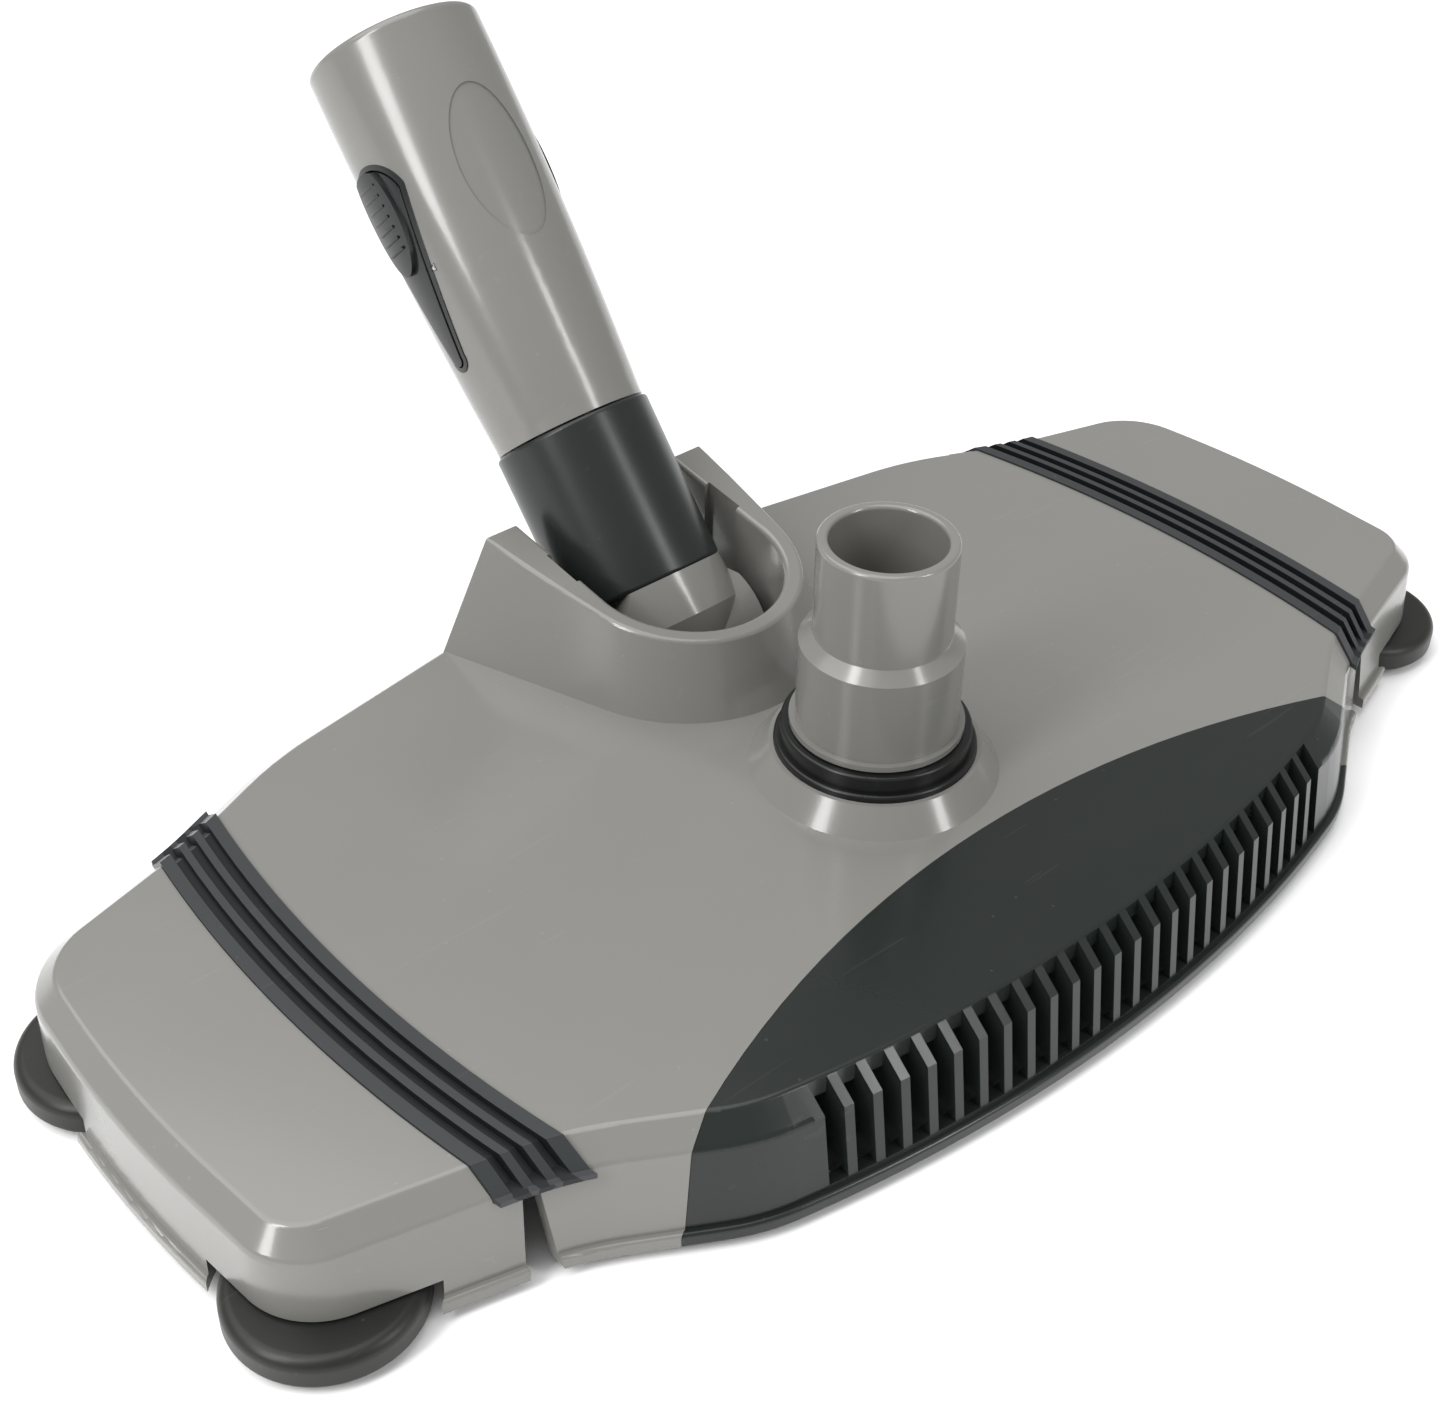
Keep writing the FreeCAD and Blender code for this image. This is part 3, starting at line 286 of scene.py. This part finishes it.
def moulded(
    name, colour, roughness, tone=0.08, rubs=0.12, peel=FINE_PEEL, gloss=0.5, coat=0.0, marks=0.35
):
    """A moulded plastic or rubber: peel is its scale and depth, marks is how far dust shows."""
    material = bpy.data.materials.new(name)
    material.use_nodes = True
    tree = material.node_tree
    shader = tree.nodes["Principled BSDF"]
    shader.inputs["Specular IOR Level"].default_value = gloss
    shader.inputs["Coat Weight"].default_value = coat
    shader.inputs["Coat Roughness"].default_value = COAT_ROUGHNESS
    skin = add_node(tree, "ShaderNodeGroup", -5, 0)
    skin.node_tree = SKIN
    skin.inputs["Colour"].default_value = (*colour, 1.0)
    skin.inputs["Tone spread"].default_value = tone
    skin.inputs["Roughness middle"].default_value = roughness
    skin.inputs["Roughness spread"].default_value = rubs
    skin.inputs["Peel scale"].default_value = peel[0]
    worn = add_node(tree, "ShaderNodeGroup", -5, 2)
    worn.node_tree = MARKS
    worn.inputs["Speck scale"].default_value = SPECK_SCALE
    worn.inputs["Speck size"].default_value = SPECK_SIZE
    worn.inputs["Scratch share"].default_value = SCRATCH_SHARE
    dust = add_node(tree, "ShaderNodeMix", -2, 0)
    dust.data_type = "RGBA"
    share = math_node(tree, "MULTIPLY", -3, 1, worn.outputs["Mask"], marks)
    tree.links.new(share, dust.inputs["Factor"])
    tree.links.new(skin.outputs["Colour"], dust.inputs[MIX_A])
    paler = [min(1.0, channel * DUST_GAIN + DUST_LIFT) for channel in colour]
    dust.inputs[MIX_B].default_value = (*paler, 1.0)
    bump = add_node(tree, "ShaderNodeBump", -2, 3)
    bump.inputs["Strength"].default_value = 1.0
    bump.inputs["Distance"].default_value = peel[1]
    tree.links.new(dust.outputs[MIX_RESULT], shader.inputs["Base Color"])
    tree.links.new(skin.outputs["Roughness"], shader.inputs["Roughness"])
    tree.links.new(skin.outputs["Height"], bump.inputs["Height"])
    tree.links.new(bump.outputs["Normal"], shader.inputs["Normal"])
    return material


def clad(material, *names):
    """Gives CAD nodes their finish."""
    for name in names:
        nodes[name].data.materials.clear()
        nodes[name].data.materials.append(material)


clad(moulded("warm_grey_abs", GREY, GREY_ROUGHNESS, coat=0.25, marks=0.25), *GREY_NODES)

# ------------------------------------------------------------------------------------------
# Front panel: one charcoal ABS moulding screwed up into the centre shell. Its deck is satin,
# and its slots stand between thin upright fins that keep leaves out of the suction chamber.
CHARCOAL = (0.0120, 0.0152, 0.0140)
charcoal = moulded("charcoal_abs", CHARCOAL, 0.22, tone=0.25, rubs=0.2, gloss=0.36, marks=0.5)
clad(charcoal, "grille_panel")

# ------------------------------------------------------------------------------------------
# Hinge strips: black thermoplastic rubber moulded over the gap between the shells, with three
# grooves so that it folds when a wing lifts or drops. Each end turns down over the shoulder
# and stops in a thin lip. On the head the strip is held by the centre shell; its mesh here is cut across into thin
# columns over the fold.
STRIP_RADIUS = 0.35425
STRIP_BOW = 0.00425
STRIP_HALF_WIDTH = 0.00825
STRIP_BORDER = 0.0030
GROOVE_WIDTH = 0.0023
GROOVE_PITCH = 0.0041
GROOVE_COUNT = 3
STRIP_EDGE_ROUND = 0.00022
SHARP_FROM = 25.0
MERGE_WITHIN = 1e-6
FLAT_WITHIN = 0.4
GROOVE_SLACK = 5e-5
BEND_FROM = -0.0050
BEND_TO = 0.0055
BEND_CUTS = 9
STRIP_BLACK = (0.026, 0.029, 0.031)
# The groove faces take a darker rubber than the rest of the strip: painted shade standing in for the shadow deep
# in the grooves.
GROOVE_PAINTED_SHADE = (0.009, 0.010, 0.011)
strip_rubber = moulded("hinge_rubber", STRIP_BLACK, 0.34, tone=0.2, gloss=0.36, marks=0.6)
groove_painted_shade = moulded("hinge_groove_painted_shade", GROOVE_PAINTED_SHADE, 0.45, tone=0.2, gloss=0.25)


def joint_named(name):
    return next(j for j in frame["joints"] if j["name"] == name)


def merged_copy(node):
    """A copy of a CAD node's mesh as one closed skin of flat faces."""
    body = bmesh.new()
    body.from_mesh(nodes[node].data)
    bmesh.ops.remove_doubles(body, verts=body.verts, dist=MERGE_WITHIN)
    flat = math.radians(FLAT_WITHIN)
    bmesh.ops.dissolve_limit(body, angle_limit=flat, verts=body.verts, edges=body.edges)
    return body


def rounded(name, body, width):
    """The mesh with its sharp edges rounded, as an object at the origin."""
    rough = bpy.data.meshes.new(name)
    body.to_mesh(rough)
    body.free()
    piece = bpy.data.objects.new(name, rough)
    scene.collection.objects.link(piece)
    edge = piece.modifiers.new("edge", "BEVEL")
    edge.width = width
    edge.segments = 2
    edge.limit_method = "ANGLE"
    edge.angle_limit = math.radians(SHARP_FROM)
    graph = bpy.context.evaluated_depsgraph_get()
    finished = bpy.data.meshes.new_from_object(piece.evaluated_get(graph))
    piece.modifiers.clear()
    piece.data = finished
    return piece


def in_groove(reach):
    """True where a distance from the strip's arc centre lies over one of its grooves."""
    first = STRIP_RADIUS - STRIP_HALF_WIDTH + STRIP_BORDER
    for index in range(GROOVE_COUNT):
        start = first + index * GROOVE_PITCH
        if start - GROOVE_SLACK < reach < start + GROOVE_WIDTH + GROOVE_SLACK:
            return True
    return False


def hinge_strip(side, sign):
    hinge = Vector(joint_named(side + "_wing_flex")["pos_m"])
    body = merged_copy(side + "_flex_strip")
    piece = rounded(side + "_hinge_strip", body, STRIP_EDGE_ROUND)
    body = bmesh.new()
    body.from_mesh(piece.data)
    for cut in range(BEND_CUTS + 1):
        x = hinge.x + sign * (BEND_FROM + (BEND_TO - BEND_FROM) * cut / BEND_CUTS)
        every = body.verts[:] + body.edges[:] + body.faces[:]
        bmesh.ops.bisect_plane(body, geom=every, plane_co=(x, 0, 0), plane_no=(1, 0, 0))
    bmesh.ops.triangulate(body, faces=body.faces)
    middle = Vector((sign * (abs(hinge.x) + STRIP_BOW - STRIP_RADIUS), hinge.y))
    for face in body.faces:
        reach = (face.calc_center_median().xy - middle).length
        # Faces over a groove get the darker rubber, which paints shade into the grooves.
        face.material_index = 1 if in_groove(reach) else 0
        face.smooth = False
    piece.data.materials.clear()
    piece.data.materials.append(strip_rubber)
    piece.data.materials.append(groove_painted_shade)
    body.to_mesh(piece.data)
    body.free()
    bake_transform(piece)
    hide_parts(side + "_flex_strip")


hinge_strip("left", -1)
hinge_strip("right", 1)

# ------------------------------------------------------------------------------------------
# Handle fittings: a satin charcoal sleeve over the knuckle's stem, and on each side of the
# tube a near black clip that rocks in a thin bezel. Its thumb pad has fine moulded ribs.
RIB_COUNT = 7
RIB_PITCH = 0.0028
RIB_RADIUS = 0.00042
RIB_SWEEP = 17.0
RIB_MIDDLE = 0.1252
RIB_SUNK = 0.55  # how much of a bead's radius is in the pad
ARC_POINTS = 14
BEAD_POINTS = 10
CLIP_BLACK = (0.009, 0.010, 0.0105)
SLEEVE_CHARCOAL = (0.013, 0.0162, 0.0152)
clip_plastic = moulded("clip_plastic", CLIP_BLACK, 0.26, tone=0.2, gloss=0.45, marks=0.5)
sleeve = moulded("sleeve_plastic", SLEEVE_CHARCOAL, 0.30, tone=0.2, gloss=0.38, marks=0.5)
clad(sleeve, "handle_collar")
clad(clip_plastic, "left_clip_bezel", "right_clip_bezel", "left_clip_button", "right_clip_button")


def rib_tree():
    """Geometry Nodes: arched ribs in a row, each a round bead bent over the thumb pad."""
    tree = bpy.data.node_groups.new("thumb_ribs", "GeometryNodeTree")
    face = tree.interface
    for label, kind in (
        ("Count", "NodeSocketInt"),
        ("Pitch", "NodeSocketFloat"),
        ("Pad radius", "NodeSocketFloat"),
        ("Sweep", "NodeSocketFloat"),
        ("Bead radius", "NodeSocketFloat"),
        ("Finish", "NodeSocketMaterial"),
    ):
        face.new_socket(label, in_out="INPUT", socket_type=kind)
    face.new_socket("Geometry", in_out="OUTPUT", socket_type="NodeSocketGeometry")
    given = add_node(tree, "NodeGroupInput", 0, 0).outputs
    out = add_node(tree, "NodeGroupOutput", 7, 0).inputs
    arc = add_node(tree, "GeometryNodeCurveArc", 2, 0)
    arc.inputs["Resolution"].default_value = ARC_POINTS
    half = math_node(tree, "MULTIPLY", 1, 1, given["Sweep"], -0.5)
    bead = add_node(tree, "GeometryNodeCurvePrimitiveCircle", 2, 2)
    bead.inputs["Resolution"].default_value = BEAD_POINTS
    swept = add_node(tree, "GeometryNodeCurveToMesh", 3, 0)
    swept.inputs["Fill Caps"].default_value = True
    step = add_node(tree, "ShaderNodeCombineXYZ", 2, 3)
    row = add_node(tree, "GeometryNodeMeshLine", 3, 3)
    placed = add_node(tree, "GeometryNodeInstanceOnPoints", 4, 0)
    real = add_node(tree, "GeometryNodeRealizeInstances", 5, 0)
    finish = add_node(tree, "GeometryNodeSetMaterial", 6, 0)
    link = tree.links.new
    link(given["Pad radius"], arc.inputs["Radius"])
    link(half, arc.inputs["Start Angle"])
    link(given["Sweep"], arc.inputs["Sweep Angle"])
    link(given["Bead radius"], bead.inputs["Radius"])
    link(arc.outputs["Curve"], swept.inputs["Curve"])
    link(bead.outputs["Curve"], swept.inputs["Profile Curve"])
    link(given["Pitch"], step.inputs["Z"])
    link(given["Count"], row.inputs["Count"])
    link(step.outputs[0], row.inputs["Offset"])
    link(row.outputs[0], placed.inputs["Points"])
    link(swept.outputs[0], placed.inputs["Instance"])
    link(placed.outputs[0], real.inputs[0])
    link(real.outputs[0], finish.inputs["Geometry"])
    link(given["Finish"], finish.inputs["Material"])
    link(finish.outputs[0], out["Geometry"])
    return tree


RIBS = rib_tree()


def grown(name, tree, values, place):
    """A plain mesh object from a Geometry Nodes tree, put in its place in the mesh."""
    maker = bpy.data.objects.new(name, bpy.data.meshes.new(name))
    scene.collection.objects.link(maker)
    modifier = maker.modifiers.new("grow", "NODES")
    modifier.node_group = tree
    for item in tree.interface.items_tree:
        if item.in_out == "INPUT" and item.name in values:
            modifier[item.identifier] = values[item.name]
    graph = bpy.context.evaluated_depsgraph_get()
    mesh = bpy.data.meshes.new_from_object(maker.evaluated_get(graph))
    maker.modifiers.clear()
    mesh.transform(place)
    mesh.update()
    maker.data = mesh
    return maker


def handle_frame():
    """From the handle's own frame, pivot at the origin and tube along +Z, to its rest place."""
    socket = next(m for m in frame["record"]["mounts"] if m["name"] == "pole_socket")
    along = Vector(socket["axis"])
    across = Vector((1, 0, 0))
    turn = Matrix((across, along.cross(across), along)).transposed()
    return Matrix.Translation(joint_named("handle_tilt")["pos_m"]) @ turn.to_4x4()


def pad_ribs(side, sign):
    to_rest = handle_frame()
    low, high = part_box(side + "_clip_button")
    pad_radius = max(abs(low.x), abs(high.x)) - RIB_RADIUS * RIB_SUNK
    shift = Matrix.Translation((0, 0, RIB_MIDDLE - RIB_PITCH * (RIB_COUNT - 1) / 2))
    facing = Matrix.Rotation(math.pi if sign < 0 else 0.0, 4, "Z")
    values = {
        "Count": RIB_COUNT,
        "Pitch": RIB_PITCH,
        "Pad radius": pad_radius,
        "Sweep": math.radians(RIB_SWEEP),
        "Bead radius": RIB_RADIUS,
        "Finish": clip_plastic,
    }
    ribs = grown(side + "_pad_ribs", RIBS, values, to_rest @ shift @ facing)
    for polygon in ribs.data.polygons:
        polygon.use_smooth = True
    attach(ribs, side + "_clip")


pad_ribs("left", -1)
pad_ribs("right", 1)

# ------------------------------------------------------------------------------------------
# Rubber: the four bumper rollers' tyres, olive black and matt from the mould, and the neck's
# two step seal ring, which is darker and smoother.
OLIVE_BLACK = (0.0125, 0.0135, 0.0112)
SEAL_BLACK = (0.006, 0.0065, 0.0065)
TYRE_PEEL = (700.0, 2e-5)
bumper = moulded(
    "bumper_rubber", OLIVE_BLACK, 0.40, tone=0.3, peel=TYRE_PEEL, gloss=0.34, marks=0.6
)
for wing in ("left", "right"):
    for end in ("front", "rear"):
        clad(bumper, wing + "_" + end + "_roller_tyre")
clad(moulded("seal_rubber", SEAL_BLACK, 0.30, gloss=0.35), "seal_ring")

# ------------------------------------------------------------------------------------------
# Running gear under the head: floor wheels in forks, roller hubs and pin bushes, all moulded
# in dark acetal, which is slightly waxy.
ACETAL_GREY = (0.030, 0.032, 0.033)
acetal = moulded("dark_acetal", ACETAL_GREY, 0.40, tone=0.15, gloss=0.4)
for name in nodes:
    if name.endswith(("_floor_wheel", "_fork", "_roller_hub", "_bushes")):
        clad(acetal, name)

# ------------------------------------------------------------------------------------------
# Steel: screws, axles, pivot pin, clips and the neck's retaining ring, in stainless drawn
# wire or sheet with fine drawing lines along it.
STEEL_DARK = (0.50, 0.50, 0.51, 1.0)
STEEL_LIGHT = (0.64, 0.64, 0.65, 1.0)
DRAWN_STRETCH = (120.0, 2400.0, 2400.0)
DRAWN_ROUGHNESS = 0.18
DRAWN_SPREAD = 0.25
STEEL_NODES = (
    "panel_screws", "centre_ballast_screws", "centre_fork_screws", "centre_axles", "pivot_pin",
    "pin_clips", "clip_pins", "neck_retainer", "left_wing_screws", "right_wing_screws",
    "left_wing_axle", "right_wing_axle", "left_roller_screws", "right_roller_screws",
)


def drawn_steel():
    steel = bpy.data.materials.new("drawn_stainless")
    steel.use_nodes = True
    tree = steel.node_tree
    shader = tree.nodes["Principled BSDF"]
    shader.inputs["Metallic"].default_value = 1.0
    where = add_node(tree, "ShaderNodeTexCoord", -7, 0).outputs["Object"]
    stretch = add_node(tree, "ShaderNodeMapping", -6, 0)
    stretch.inputs["Scale"].default_value = DRAWN_STRETCH
    lines = add_node(tree, "ShaderNodeTexNoise", -5, 0, Scale=1.0, Detail=3.0)
    tree.links.new(where, stretch.inputs["Vector"])
    tree.links.new(stretch.outputs[0], lines.inputs["Vector"])
    line = lines.outputs["Fac"]
    rough = math_node(tree, "MULTIPLY_ADD", -3, 0, line, DRAWN_SPREAD, DRAWN_ROUGHNESS)
    tone = add_node(tree, "ShaderNodeMix", -3, 1)
    tone.data_type = "RGBA"
    tree.links.new(line, tone.inputs["Factor"])
    tone.inputs[MIX_A].default_value = STEEL_DARK
    tone.inputs[MIX_B].default_value = STEEL_LIGHT
    tree.links.new(rough, shader.inputs["Roughness"])
    tree.links.new(tone.outputs[MIX_RESULT], shader.inputs["Base Color"])
    return steel


clad(drawn_steel(), *STEEL_NODES)

# ------------------------------------------------------------------------------------------
# Ballast: cast iron blocks under each shell, dipped in blue grey enamel that keeps the
# casting's coarse skin, and that hold the head down on the pool floor.
ENAMEL_GREY = (0.045, 0.050, 0.056)
CAST_PEEL = (420.0, 9e-5)
enamel = moulded("dipped_iron", ENAMEL_GREY, 0.45, tone=0.3, rubs=0.3, peel=CAST_PEEL)
clad(enamel, "left_ballast", "right_ballast", "left_wing_ballast", "right_wing_ballast")
